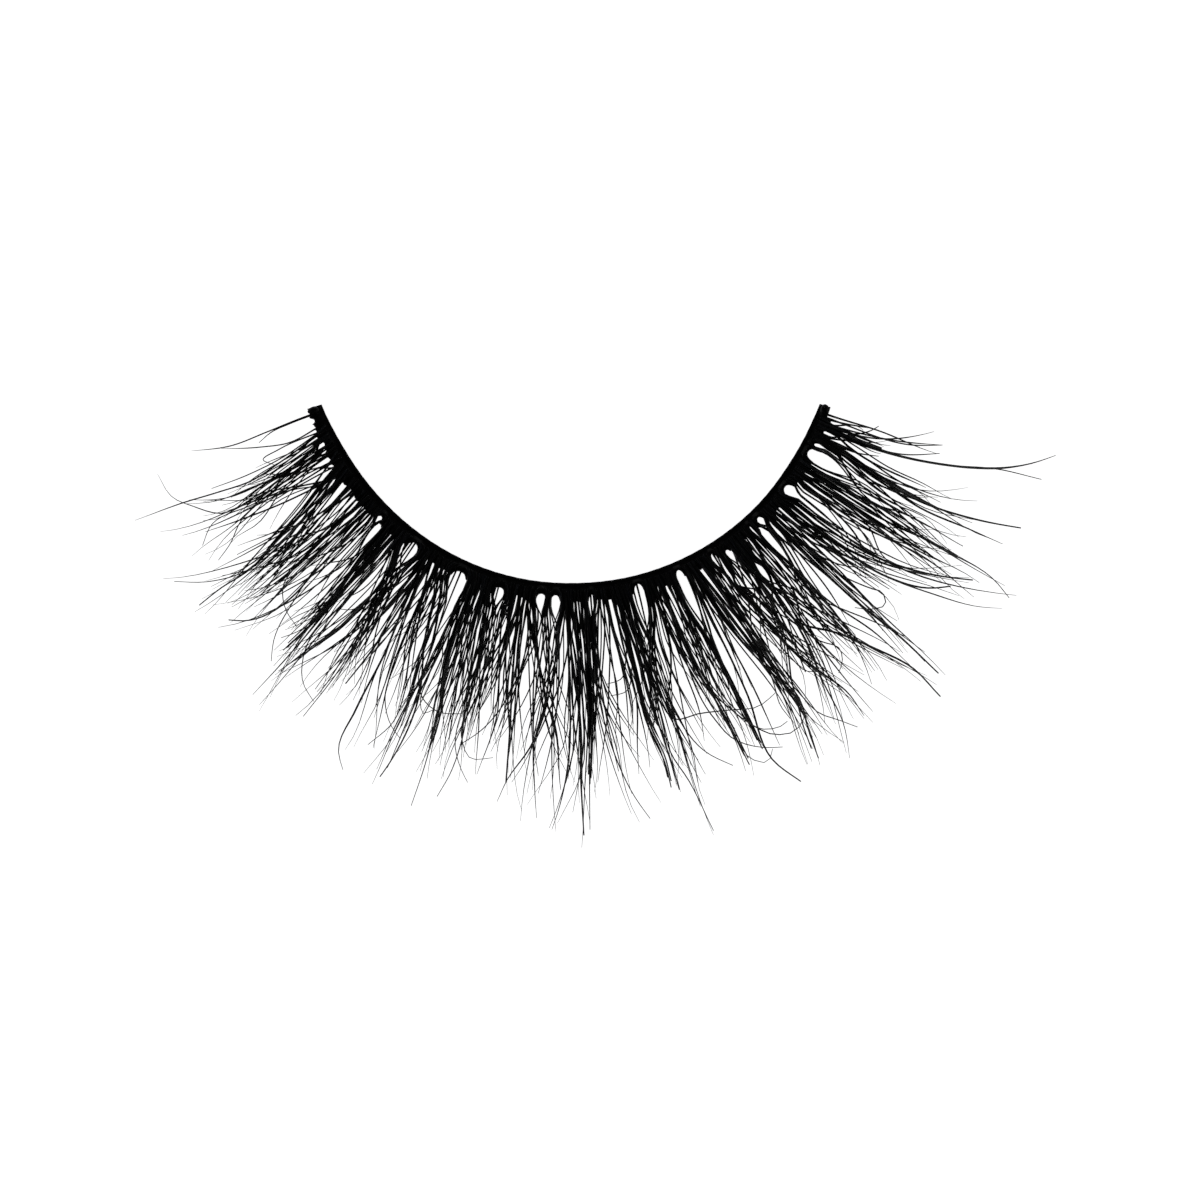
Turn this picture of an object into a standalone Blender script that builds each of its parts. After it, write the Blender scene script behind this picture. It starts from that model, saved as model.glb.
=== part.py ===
"""False eyelash strip: a cotton band bent to the eyelid's curve, with a fringe of curled lash locks.

The strip lies on its band. X runs along the eye towards the outer corner, Y points from the lash
tips towards the brow, and Z points up, the way the lashes curl. The origin is the middle of the
band's underside. Lengths are in metres and angles in degrees.
"""

import math

import bmesh
import bpy
from mathutils import Matrix, Vector

# The band, which follows the edge of the eyelid
BAND_LENGTH = 0.0340
LID_RADIUS = 0.0135
BAND_WIDTH = 0.00045
BAND_HEIGHT = 0.00050
BAND_ROUNDING = 0.00009

# The root line: the strip of glued hair roots that lies on the band's outer edge
ROOT_LINE_WIDTH = 0.00050
ROOT_LINE_HEIGHT = 0.00034
ROOT_LINE_OVERHANG = 0.00018
ROOT_LINE_ROUNDING = 0.00008
GLUE_GAP = 0.00005

# The lashes: how far the longest one reaches from the lid's edge in plan, and how they curl up
LASH_REACH = 0.01375
CURL_ANGLE = 47.0
LOWEST_LIFT = 3.0
LAYER_LIFT = 3.5

# A lock is a flat bundle of hairs that narrows to its tip
LOCK_WIDTH = 0.00058
LOCK_THICKNESS = 0.00022
LOCK_SIDES = 6
LOCK_TAPER = ((0.0, 0.95), (0.10, 0.92), (0.30, 1.0), (0.52, 0.84), (0.74, 0.56), (0.90, 0.30), (1.0, 0.11))

# How finely the arcs along the lid are divided
ARC_STEPS = 48

# The chart of the locks. Places along the band run from -72 at its inner end to 72 at its outer
# end, and reach is a percentage of the longest lash. Bow is how far the lock's middle stands to the
# outer side of the straight way from root to tip, and hook does the same for its outer half and the
# opposite for its inner half. Width is a share of the full lock's, and layer 0 is the lowest.
CHART_HALF = 72.0
CHART_REACH = 100.0
LOCKS = (
    # root, tip, reach, bow, hook, width, layer
    (-70.4, -71.2, 53, 0.6, 0.0, 0.45, 1),
    (-67.8, -70.0, 40, 1.7, 0.0, 0.45, 0),
    (-66.2, -65.5, 82, 1.9, -0.3, 0.60, 2),
    (-65.0, -61.4, 52, 1.9, 0.0, 1.00, 1),
    (-63.2, -58.8, 64, 0.4, 0.0, 0.80, 1),
    (-61.5, -62.6, 67, 1.4, 0.0, 0.75, 0),
    (-59.2, -52.7, 77, 2.5, 0.0, 1.10, 2),
    (-57.0, -61.3, 52, -0.6, 0.0, 0.70, 0),
    (-56.3, -50.7, 67, 1.5, 0.0, 0.95, 1),
    (-54.6, -52.7, 57, 0.8, 0.0, 0.85, 0),
    (-52.8, -50.2, 62, 1.0, 0.0, 0.85, 1),
    (-50.6, -56.8, 80, 1.1, 0.0, 0.55, 0),
    (-49.2, -49.2, 65, 0.7, 0.0, 0.90, 1),
    (-47.6, -47.0, 67, 0.0, 0.0, 0.90, 2),
    (-46.0, -49.0, 73, 1.9, 0.0, 0.80, 0),
    (-42.6, -42.4, 62, 1.2, 0.0, 1.00, 1),
    (-41.0, -40.5, 85, 0.3, 0.0, 0.95, 2),
    (-39.5, -41.2, 66, 0.2, 0.0, 0.85, 0),
    (-38.0, -33.2, 66, 0.8, 0.0, 0.85, 1),
    (-37.0, -34.2, 81, 1.4, 0.0, 0.75, 2),
    (-34.0, -40.0, 76, 0.6, 0.0, 1.05, 0),
    (-32.4, -33.7, 63, -0.4, 0.0, 0.80, 1),
    (-31.2, -27.0, 91, -0.1, 0.3, 0.70, 2),
    (-30.3, -32.0, 62, 0.3, 0.0, 0.85, 0),
    (-29.2, -24.0, 63, -0.3, 0.0, 0.90, 1),
    (-27.4, -22.7, 86, 1.5, 0.0, 0.95, 2),
    (-25.8, -29.0, 42, 0.0, 0.0, 0.70, 0),
    (-22.2, -23.5, 68, 0.4, 0.0, 0.95, 1),
    (-21.2, -18.5, 88, 0.5, 0.0, 1.10, 2),
    (-19.6, -19.0, 70, 0.3, 0.0, 1.00, 0),
    (-18.3, -14.6, 66, 0.2, 0.0, 0.95, 1),
    (-16.9, -16.2, 72, 0.3, 0.0, 0.80, 2),
    (-13.8, -11.3, 60, 0.0, 0.0, 0.95, 1),
    (-12.2, -15.0, 77, -0.7, 0.0, 0.95, 0),
    (-10.4, -8.1, 77, 0.0, 0.0, 1.00, 2),
    (-8.9, -12.0, 64, -0.2, 0.0, 0.85, 0),
    (-7.9, -1.4, 77, 0.3, 0.0, 0.90, 1),
    (-4.8, -4.0, 88, 0.0, -0.4, 0.75, 2),
    (-2.2, -8.0, 77, 1.6, 0.0, 0.85, 0),
    (-1.2, -2.2, 92, 1.6, 0.0, 0.80, 1),
    (-0.1, 1.4, 95, 0.6, 0.0, 0.85, 2),
    (1.4, 2.3, 76, 0.6, 0.0, 1.05, 1),
    (2.9, 9.0, 91, -1.3, 0.3, 0.60, 2),
    (5.2, 2.6, 72, 0.1, 0.0, 1.05, 0),
    (7.2, 8.5, 74, 0.6, 0.0, 0.85, 1),
    (9.0, 12.1, 81, 0.0, 0.0, 1.10, 0),
    (10.6, 13.0, 82, 0.1, 0.0, 0.95, 2),
    (12.2, 15.6, 100, 0.2, -0.2, 0.85, 1),
    (15.6, 11.5, 62, -0.3, 0.0, 0.95, 0),
    (17.0, 16.5, 79, -0.7, 0.0, 0.70, 1),
    (18.2, 21.9, 81, 0.1, 0.0, 1.10, 2),
    (20.0, 20.8, 66, 0.0, 0.0, 0.95, 0),
    (21.9, 24.1, 77, 0.4, 0.0, 1.00, 1),
    (25.2, 24.4, 57, 0.0, 0.0, 0.90, 0),
    (26.8, 29.5, 90, 1.6, 0.0, 1.10, 2),
    (28.6, 31.2, 83, 0.6, 0.0, 0.90, 1),
    (30.2, 36.6, 86, 0.1, 0.0, 1.05, 2),
    (32.9, 35.2, 62, -0.2, 0.0, 0.85, 1),
    (35.7, 31.2, 63, 1.1, 0.0, 0.90, 0),
    (36.4, 44.5, 99, -0.5, 1.4, 0.75, 2),
    (37.4, 33.0, 95, 1.4, 0.0, 0.75, 0),
    (38.7, 38.9, 85, -1.2, 0.0, 0.80, 1),
    (40.1, 41.0, 77, 0.5, 0.0, 0.90, 2),
    (44.6, 40.8, 75, -0.7, 0.0, 0.75, 0),
    (45.8, 46.2, 92, -0.2, 0.0, 0.95, 1),
    (47.0, 50.8, 60, -0.8, 0.0, 0.80, 2),
    (48.6, 49.8, 60, 0.0, 0.0, 0.95, 0),
    (50.2, 55.1, 76, -1.7, 0.0, 0.90, 1),
    (51.0, 56.3, 96, -2.2, 0.0, 0.70, 2),
    (54.6, 51.2, 55, 0.8, 0.0, 0.80, 0),
    (55.4, 57.2, 81, -0.9, 0.0, 0.85, 1),
    (56.8, 57.0, 64, 0.0, 0.0, 1.00, 0),
    (58.2, 57.8, 96, 0.6, 0.0, 1.05, 2),
    (59.5, 58.7, 71, 0.0, 0.0, 0.80, 1),
    (63.5, 62.7, 84, -0.9, 0.0, 1.00, 1),
    (64.5, 65.3, 87, -1.8, 0.0, 0.85, 2),
    (66.6, 64.2, 57, -0.7, 0.0, 0.70, 0),
    (67.6, 74.5, 90, -2.0, 0.0, 0.85, 2),
    (69.0, 71.7, 50, -0.5, 0.0, 0.60, 1),
)

# Sizes that follow from those above
HALF_LID_ANGLE = BAND_LENGTH / LID_RADIUS / 2
LID_CENTRE = Vector((0, LID_RADIUS + BAND_WIDTH / 2, 0))
ROOT_LINE_OUTER = LID_RADIUS + BAND_WIDTH + ROOT_LINE_OVERHANG
ROOT_LINE_BOTTOM = BAND_HEIGHT + GLUE_GAP
ROOT_RADIUS = ROOT_LINE_OUTER - ROOT_LINE_WIDTH / 2
ROOT_HEIGHT = ROOT_LINE_BOTTOM + ROOT_LINE_HEIGHT / 2
LONGEST_RUN = LID_RADIUS + LASH_REACH - ROOT_RADIUS
CURL_RADIUS = LONGEST_RUN / math.sin(math.radians(CURL_ANGLE))


def clear_scene():
    for obj in list(bpy.data.objects):
        bpy.data.objects.remove(obj, do_unlink=True)


def new_collection(name, hidden=False):
    collection = bpy.data.collections.new(name)
    bpy.context.scene.collection.children.link(collection)
    collection.hide_render = hidden
    return collection


def new_material(name, colour, roughness):
    material = bpy.data.materials.new(name)
    material.use_nodes = True
    shader = material.node_tree.nodes["Principled BSDF"]
    shader.inputs["Base Color"].default_value = (*colour, 1)
    shader.inputs["Roughness"].default_value = roughness
    shader.inputs["Metallic"].default_value = 0
    return material


def lid_point(angle, radius, height):
    """The point at this angle from the lid's middle, this far from the lid's centre."""
    return LID_CENTRE + Vector((radius * math.sin(angle), -radius * math.cos(angle), height))


def lid_bar(name, inner, outer, bottom, top, rounding, collection, material):
    """A bar of rectangular section that runs along the whole lid, with its long edges rounded."""
    bm = bmesh.new()
    corners = ((inner, bottom), (outer, bottom), (outer, top), (inner, top))
    verts = [bm.verts.new(lid_point(-HALF_LID_ANGLE, radius, height)) for radius, height in corners]
    face = bm.faces.new(verts)
    bmesh.ops.spin(
        bm,
        geom=[face, *face.edges, *face.verts],
        cent=LID_CENTRE,
        axis=(0, 0, 1),
        angle=2 * HALF_LID_ANGLE,
        steps=ARC_STEPS,
    )
    bmesh.ops.recalc_face_normals(bm, faces=bm.faces)
    mesh = bpy.data.meshes.new(name)
    bm.to_mesh(mesh)
    bm.free()
    mesh.materials.append(material)
    obj = bpy.data.objects.new(name, mesh)
    collection.objects.link(obj)
    bevel = obj.modifiers.new("rounded_edges", "BEVEL")
    bevel.width = rounding
    bevel.segments = 1
    bevel.limit_method = "ANGLE"
    bevel.angle_limit = math.radians(60)
    return obj


def curl_height(run, layer):
    """How high a lash of this layer stands above its root, this far out from it."""
    lift = math.radians(LOWEST_LIFT + LAYER_LIFT * layer)
    slope = math.asin(min(run / CURL_RADIUS, 1))
    return run * math.tan(lift) + CURL_RADIUS * (1 - math.cos(slope))


def lock_point(row, share):
    """The lock's centre line, from share 0 at its root to 1 at its tip."""
    root, tip, reach, bow, hook, _, layer = row
    swing = 4 * share * (1 - share)
    place = root + (tip - root) * share + bow * swing + hook * swing * (2 * share - 1)
    run = (LASH_REACH * reach / CHART_REACH + LID_RADIUS - ROOT_RADIUS) * share
    angle = place / CHART_HALF * HALF_LID_ANGLE
    return lid_point(angle, ROOT_RADIUS + run, ROOT_HEIGHT + curl_height(run, layer))


def lock_section(collection):
    """The flat oval that every lock's curve is swept with."""
    curve = bpy.data.curves.new("lock_section", "CURVE")
    curve.dimensions = "2D"
    spline = curve.splines.new("POLY")
    spline.points.add(LOCK_SIDES - 1)
    spline.use_cyclic_u = True
    for side, point in enumerate(spline.points):
        turn = 2 * math.pi * side / LOCK_SIDES
        point.co = (LOCK_WIDTH / 2 * math.cos(turn), LOCK_THICKNESS / 2 * math.sin(turn), 0, 1)
    obj = bpy.data.objects.new("lock_section", curve)
    obj.hide_render = True
    obj.display_type = "WIRE"
    collection.objects.link(obj)
    return obj


def lock(name, row, section, collection):
    """One lock: the oval swept along the lock's curl and narrowed to its tip, as a closed mesh."""
    width = row[5]
    curve = bpy.data.curves.new(name, "CURVE")
    curve.dimensions = "3D"
    curve.twist_mode = "Z_UP"
    curve.bevel_mode = "OBJECT"
    curve.bevel_object = section
    curve.use_fill_caps = True
    spline = curve.splines.new("POLY")
    spline.points.add(len(LOCK_TAPER) - 1)
    for point, (share, taper) in zip(spline.points, LOCK_TAPER):
        point.co = (*lock_point(row, share), 1)
        point.radius = width * taper
    swept = bpy.data.objects.new(name + "_curve", curve)
    collection.objects.link(swept)
    graph = bpy.context.evaluated_depsgraph_get()
    mesh = bpy.data.meshes.new_from_object(swept.evaluated_get(graph))
    bm = bmesh.new()
    bm.from_mesh(mesh)
    bmesh.ops.remove_doubles(bm, verts=bm.verts, dist=1e-7)
    bmesh.ops.recalc_face_normals(bm, faces=bm.faces)
    bm.to_mesh(mesh)
    bm.free()
    obj = bpy.data.objects.new(name, mesh)
    obj.matrix_world = swept.matrix_world
    bpy.data.objects.remove(swept)
    obj.hide_render = True
    obj.display_type = "WIRE"
    collection.objects.link(obj)
    return obj


def build():
    clear_scene()
    strip = new_collection("false_eyelash_strip")
    helpers = new_collection("helpers", hidden=True)
    locks = new_collection("locks", hidden=True)
    cotton = new_material("black_cotton", (0.006, 0.006, 0.007), 0.75)
    hair = new_material("black_lash_hair", (0.004, 0.004, 0.005), 0.42)

    lid_bar(
        "band",
        LID_RADIUS,
        LID_RADIUS + BAND_WIDTH,
        0,
        BAND_HEIGHT,
        BAND_ROUNDING,
        strip,
        cotton,
    )
    fringe = lid_bar(
        "lash_fringe",
        ROOT_LINE_OUTER - ROOT_LINE_WIDTH,
        ROOT_LINE_OUTER,
        ROOT_LINE_BOTTOM,
        ROOT_LINE_BOTTOM + ROOT_LINE_HEIGHT,
        ROOT_LINE_ROUNDING,
        strip,
        hair,
    )
    section = lock_section(helpers)
    for number, row in enumerate(LOCKS, 1):
        lock(f"lock_{number:02d}", row, section, locks)
    join = fringe.modifiers.new("locks", "BOOLEAN")
    join.operation = "UNION"
    join.operand_type = "COLLECTION"
    join.collection = locks
    join.solver = "EXACT"


build()
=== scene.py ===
# %% [markdown]
# # False eyelash strip
#
# A false eyelash strip is a black cotton band, bent to the eyelid's curve, with several hundred
# tapered plastic hairs glued along it. The hairs are laid in small locks that lean left and right
# over each other, and a last few long hairs stand out past them.
#
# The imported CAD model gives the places: the band, and a fringe of solid locks. This script makes
# the real surface around it: the band's twisted cotton, the glue along the roots with its little
# arched windows, and every hair. We start by loading the frame and keeping its box.

# %% Load the frame
import math
import random

import bmesh
import bpy
import numpy as np
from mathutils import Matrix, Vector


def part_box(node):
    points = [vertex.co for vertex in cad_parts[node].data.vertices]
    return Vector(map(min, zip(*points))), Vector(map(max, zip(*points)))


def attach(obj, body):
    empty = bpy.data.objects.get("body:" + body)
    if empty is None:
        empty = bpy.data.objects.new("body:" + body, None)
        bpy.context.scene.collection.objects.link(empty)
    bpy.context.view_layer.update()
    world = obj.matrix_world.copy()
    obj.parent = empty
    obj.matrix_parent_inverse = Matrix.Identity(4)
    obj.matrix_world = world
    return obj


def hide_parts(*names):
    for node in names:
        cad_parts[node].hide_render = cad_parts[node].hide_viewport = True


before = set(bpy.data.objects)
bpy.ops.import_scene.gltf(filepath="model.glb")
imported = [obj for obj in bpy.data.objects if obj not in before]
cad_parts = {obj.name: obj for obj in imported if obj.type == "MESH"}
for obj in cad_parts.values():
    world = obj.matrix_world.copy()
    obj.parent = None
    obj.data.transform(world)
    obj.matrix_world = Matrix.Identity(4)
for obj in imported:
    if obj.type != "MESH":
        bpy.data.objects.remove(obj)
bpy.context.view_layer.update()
MM = 0.001

# %% [markdown]
# ## The chart
#
# Everything on a lash strip is easiest to place in the lid's own terms: how far along the band,
# and how far out from the lid's edge. So we use a chart with two coordinates. A place along the
# band runs from -72 at the inner corner of the eye to 72 at the outer corner, and a reach is a
# percentage of the longest lash. One function turns chart coordinates into a point in the frame.

# %% The lid and the chart's scales
LID_RADIUS = 13.5 * MM
BAND_LENGTH = 34.0 * MM
LASH_REACH = 13.75 * MM
CHART_HALF = 72.0
CHART_REACH = 100.0

BAND_LOW, BAND_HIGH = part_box("band")
FRINGE_LOW, FRINGE_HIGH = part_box("lash_fringe")
BAND_WIDTH = -2 * BAND_LOW.y
BAND_TOP = BAND_HIGH.z
LID_CENTRE_Y = LID_RADIUS + BAND_WIDTH / 2
RADIANS_PER_PLACE = BAND_LENGTH / LID_RADIUS / 2 / CHART_HALF


def lid_xy(place, out):
    """Where a place along the band lies, this many metres out from the lid's edge."""
    angle = np.asarray(place) * RADIANS_PER_PLACE
    radius = LID_RADIUS + np.asarray(out)
    return radius * np.sin(angle), LID_CENTRE_Y - radius * np.cos(angle)


end_x = float(lid_xy(CHART_HALF, BAND_WIDTH)[0])
print(f"band ends at x = {end_x / MM:.2f} mm here and {BAND_HIGH.x / MM:.2f} mm in the frame")
print(f"the fringe is {(FRINGE_HIGH.x - FRINGE_LOW.x) / MM:.1f} mm wide in the frame")

# %% [markdown]
# ## Helpers for materials
#
# Colours are written as the sRGB hex values that a colour picker shows, and turned to the linear
# values that Blender works with. One more function adds a node, sets it and links it, which keeps
# each material to a few readable lines.


# %% Colour and node helpers
def srgb(code):
    """A hex colour as linear RGBA."""
    channels = [int(code[i : i + 2], 16) / 255 for i in (1, 3, 5)]
    return (*[c / 12.92 if c <= 0.04045 else ((c + 0.055) / 1.055) ** 2.4 for c in channels], 1)


def node(tree, kind, settings=None, **links):
    """Adds a node. Settings name its properties or sockets, and links name a socket's source."""
    made = tree.nodes.new(kind)
    for key, value in (settings or {}).items():
        if key in made.inputs:
            made.inputs[key].default_value = value
        else:
            setattr(made, key, value)
    for key, source in links.items():
        socket = int(key[1:]) if key[1:].isdigit() else key.replace("_", " ")
        tree.links.new(source, made.inputs[socket])
    return made


def new_material(name, settings):
    """A Principled material and its node tree, with constant values set on the shader's sockets."""
    material = bpy.data.materials.new(name)
    material.use_nodes = True
    shader = material.node_tree.nodes["Principled BSDF"]
    for key, value in settings.items():
        shader.inputs[key].default_value = value
    return material, material.node_tree, shader


def colour_steps(ramp_node, *steps):
    """Sets a Color Ramp's stops from (position, hex) pairs."""
    ramp = ramp_node.color_ramp
    while len(ramp.elements) > len(steps):
        ramp.elements.remove(ramp.elements[-1])
    while len(ramp.elements) < len(steps):
        ramp.elements.new(1)
    for element, (position, code) in zip(ramp.elements, steps):
        element.position = position
        element.color = srgb(code)


# %% [markdown]
# ## Lash hair
#
# The hairs are PBT, a polyester that is drawn into fibre, ground to a taper at the tip and set
# into its curl by heat. It is dyed right through, so it is a deep black with a soft satin shine,
# a little bluer where the light catches it. No two hairs are quite the same, so each carries its
# own tone, and the drawing leaves faint streaks along it. The colour also holds painted light:
# the hairs of the lightest tone and the raised streaks are painted bluish grey, a painted sheen,
# and the grooves between the streaks are painted darker, a painted shade.

# %% Material: satin black PBT lash fibre
STREAK_SPACING = 0.02 * MM
STREAK_STRETCH = 0.04
STREAK_DEPTH = 0.004 * MM
STREAK_SHADE_AND_SHEEN = 0.3

lash_fibre, tree, shader = new_material(
    "satin_black_pbt_lash_fibre",
    {"IOR": 1.55, "Specular IOR Level": 0.1, "Anisotropic": 0.4},
)
hair_tone_and_sheen = node(tree, "ShaderNodeAttribute", {"attribute_name": "hair_tone_and_sheen"})
hair_uv = node(tree, "ShaderNodeUVMap", {"uv_map": "UVMap"})
streak_place = node(
    tree,
    "ShaderNodeMapping",
    {"Scale": (1, STREAK_STRETCH, 1)},
    Vector=hair_uv.outputs["UV"],
)
streaks = node(
    tree,
    "ShaderNodeTexNoise",
    {"Scale": MM / STREAK_SPACING, "Detail": 2.0, "Roughness": 0.6},
    Vector=streak_place.outputs["Vector"],
)
tone_and_sheen_mix = node(
    tree,
    "ShaderNodeMath",
    {"operation": "MULTIPLY_ADD"},
    _0=streaks.outputs["Fac"],
    _2=hair_tone_and_sheen.outputs["Fac"],
)
tone_and_sheen_mix.inputs[1].default_value = STREAK_SHADE_AND_SHEEN
# Painted sheen and shade: the top stop paints the lightest hairs and raised streaks bluish grey.
fibre_colour_and_sheen = node(tree, "ShaderNodeValToRGB", _0=tone_and_sheen_mix.outputs["Value"])
colour_steps(fibre_colour_and_sheen, (0.0, "#020202"), (0.7, "#050506"), (1.0, "#0E1014"))
tree.links.new(fibre_colour_and_sheen.outputs["Color"], shader.inputs["Base Color"])
satin = node(
    tree,
    "ShaderNodeMapRange",
    {"To Min": 0.34, "To Max": 0.52},
    Value=streaks.outputs["Fac"],
)
tree.links.new(satin.outputs["Result"], shader.inputs["Roughness"])
drawn_lines = node(
    tree,
    "ShaderNodeBump",
    {"Strength": 0.25, "Distance": STREAK_DEPTH},
    Height=streaks.outputs["Fac"],
)
tree.links.new(drawn_lines.outputs["Normal"], shader.inputs["Normal"])
print("made", lash_fibre.name)

# %% [markdown]
# ## Band cotton
#
# The band is a cotton cord, dyed black and pressed flat. Two plies twist round each other, and
# each ply is itself spun from fine threads. Cotton scatters light, so it is matt with a faint
# fuzz of sheen, and the size that stiffens it fills the valleys and makes them a little smoother.

# %% Material: sized black cotton cord
THREAD_SPACING = 0.12 * MM
THREAD_ANGLE = 38
THREAD_DEPTH = 0.01 * MM
FLUFF_DEPTH = 0.006 * MM
# a wave texture of scale 1 repeats about this often in each unit of its coordinates
WAVES_PER_UNIT = 3.15

band_cotton, tree, shader = new_material(
    "sized_black_cotton_cord",
    {"IOR": 1.46, "Specular IOR Level": 0.03},
)
cord_uv = node(tree, "ShaderNodeUVMap", {"uv_map": "UVMap"})
lay = node(
    tree,
    "ShaderNodeMapping",
    {"Rotation": (0, 0, math.radians(THREAD_ANGLE))},
    Vector=cord_uv.outputs["UV"],
)
threads = node(
    tree,
    "ShaderNodeTexWave",
    {
        "Scale": MM / THREAD_SPACING / WAVES_PER_UNIT,
        "Distortion": 1.5,
        "Detail": 2.0,
        "Detail Scale": 2.0,
    },
    Vector=lay.outputs["Vector"],
)
fluff = node(
    tree,
    "ShaderNodeTexNoise",
    {"Scale": 14.0, "Detail": 4.0, "Roughness": 0.7},
    Vector=cord_uv.outputs["UV"],
)
# Painted shade: the colour follows the thread relief, darker in the valleys, lighter on the crests.
cotton_colour_and_valley_shade = node(tree, "ShaderNodeValToRGB", _0=threads.outputs["Fac"])
colour_steps(cotton_colour_and_valley_shade, (0.0, "#020202"), (0.6, "#040404"), (1.0, "#070708"))
tree.links.new(cotton_colour_and_valley_shade.outputs["Color"], shader.inputs["Base Color"])
matt = node(
    tree, "ShaderNodeMapRange", {"To Min": 0.62, "To Max": 0.85}, Value=fluff.outputs["Fac"]
)
tree.links.new(matt.outputs["Result"], shader.inputs["Roughness"])
thread_relief = node(
    tree,
    "ShaderNodeBump",
    {"Strength": 0.6, "Distance": THREAD_DEPTH},
    Height=threads.outputs["Fac"],
)
fluff_relief = node(
    tree,
    "ShaderNodeBump",
    {"Strength": 0.3, "Distance": FLUFF_DEPTH},
    Height=fluff.outputs["Fac"],
    Normal=thread_relief.outputs["Normal"],
)
tree.links.new(fluff_relief.outputs["Normal"], shader.inputs["Normal"])
print("made", band_cotton.name)

# %% [markdown]
# ## Root glue
#
# The roots are held by black latex adhesive. It dries to a smooth rubbery skin that is shinier
# than the hair, with a slight orange peel and tiny dimples where bubbles burst.

# %% Material: dried black latex glue
PEEL_SIZE = 0.12 * MM
PEEL_DEPTH = 0.012 * MM
PIT_SPACING = 0.24 * MM
PIT_DEPTH = 0.01 * MM

root_latex, tree, shader = new_material(
    "dried_black_latex_glue",
    {"IOR": 1.5, "Specular IOR Level": 0.04},
)
glue_place = node(tree, "ShaderNodeTexCoord")
peel = node(
    tree,
    "ShaderNodeTexNoise",
    {"Scale": 1 / PEEL_SIZE, "Detail": 3.0, "Roughness": 0.55},
    Vector=glue_place.outputs["Object"],
)
pits = node(
    tree,
    "ShaderNodeTexVoronoi",
    {"Scale": 1 / PIT_SPACING},
    Vector=glue_place.outputs["Object"],
)
# Painted shade: the colour follows the orange peel, darker in its hollows, lighter on its rises.
glue_colour_and_peel_shade = node(tree, "ShaderNodeValToRGB", _0=peel.outputs["Fac"])
colour_steps(glue_colour_and_peel_shade, (0.3, "#020202"), (0.7, "#050505"))
tree.links.new(glue_colour_and_peel_shade.outputs["Color"], shader.inputs["Base Color"])
wet = node(tree, "ShaderNodeMapRange", {"To Min": 0.28, "To Max": 0.5}, Value=peel.outputs["Fac"])
tree.links.new(wet.outputs["Result"], shader.inputs["Roughness"])
peel_relief = node(
    tree, "ShaderNodeBump", {"Strength": 0.5, "Distance": PEEL_DEPTH}, Height=peel.outputs["Fac"]
)
pit_relief = node(
    tree,
    "ShaderNodeBump",
    {"Strength": 0.3, "Distance": PIT_DEPTH},
    Height=pits.outputs["Distance"],
    Normal=peel_relief.outputs["Normal"],
)
tree.links.new(pit_relief.outputs["Normal"], shader.inputs["Normal"])
print("made", root_latex.name)


# %% [markdown]
# ## Meshes
#
# A finished piece is a mesh whose vertices are already in their place, with the object at the
# origin. The band and the glue come from bmesh operators. The hairs are many hundreds of like
# tubes, so they are worked out as arrays and joined in one mesh, which is far quicker than
# making and joining hundreds of objects.


# %% Finish a bmesh as a piece
def finish_piece(bm, name, material, smooth_angle=40):
    """Turns a bmesh into an object that rides on the part."""
    bmesh.ops.recalc_face_normals(bm, faces=bm.faces)
    mesh = bpy.data.meshes.new(name)
    bm.to_mesh(mesh)
    bm.free()
    mesh.shade_smooth()
    mesh.set_sharp_from_angle(angle=math.radians(smooth_angle))
    mesh.materials.append(material)
    piece = bpy.data.objects.new(name, mesh)
    bpy.context.scene.collection.objects.link(piece)
    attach(piece, "root")
    print(f"{name}: {len(mesh.vertices)} vertices, {len(mesh.polygons)} faces")
    return piece


# %% [markdown]
# ## A bar along the lid
#
# The band and the glue both run along the lid with one section. Spinning the section is the first
# thing that comes to mind, but a spin of a thousand steps is slow. A grid is quick: one of its
# directions is laid along the lid and the other is rolled round the section, then the seam is
# merged and the two ends are closed.


# %% Roll a grid into a bar
def lid_bar(section, steps):
    """A bmesh bar along the whole lid. The section is a loop of (out, height) points in metres."""
    bm = bmesh.new()
    sides = len(section)
    bmesh.ops.create_grid(bm, x_segments=steps, y_segments=sides, size=1)
    for vert in bm.verts:
        out, height = section[round((vert.co.y + 1) / 2 * sides) % sides]
        x, y = lid_xy(vert.co.x * CHART_HALF, out)
        vert.co = (float(x), float(y), height)
    bmesh.ops.remove_doubles(bm, verts=bm.verts, dist=0.0001 * MM)
    bmesh.ops.holes_fill(bm, edges=[edge for edge in bm.edges if edge.is_boundary], sides=0)
    return bm


def lid_place(spot):
    """The chart place of a point, and how far out from the lid's edge it lies."""
    away_x, away_y = spot.x, LID_CENTRE_Y - spot.y
    return math.atan2(away_x, away_y) / RADIANS_PER_PLACE, math.hypot(away_x, away_y) - LID_RADIUS


# %% [markdown]
# ## The band
#
# The section is a squashed circle, nearly a rectangle with round corners. The twist of the cord is
# pressed into it: each vertex moves in by a wave that winds round the section as it runs along
# the band. The two ends are cut square and the cut threads spread a little. Such strips are bent by
# hand, so the side at the lid also strays a little from a true arc, most of all at its ends.

# %% The band: a flattened twisted cord
CORD_SIDES = 20
CORD_STEPS = 700
CORD_FLATNESS = 4.0
TWIST_LENGTH = 0.62 * MM
TWIST_DEPTH = 0.006 * MM
PLIES = 2
PLY_SHARE = 0.8
THREADS = 9
THREAD_SHARE = 0.2
THREAD_TURNS = 3
FRAY = 0.008 * MM
FRAYED_PLACES = 0.3
HAND_OFFSET = 0.028
# depth in mm, place along the band, half width in places
HAND_BENDS = (
    (0.060, -46, 20),
    (0.045, 57, 8),
    (0.020, 2, 8),
    (-0.190, -75, 9),
    (-0.070, 73, 4),
)


def hand_bend(place):
    """How far the lid side of the band strays inwards from a true arc, in metres."""
    bends = (depth * math.exp(-(((place - at) / wide) ** 2)) for depth, at, wide in HAND_BENDS)
    return (HAND_OFFSET + sum(bends)) * MM


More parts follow.
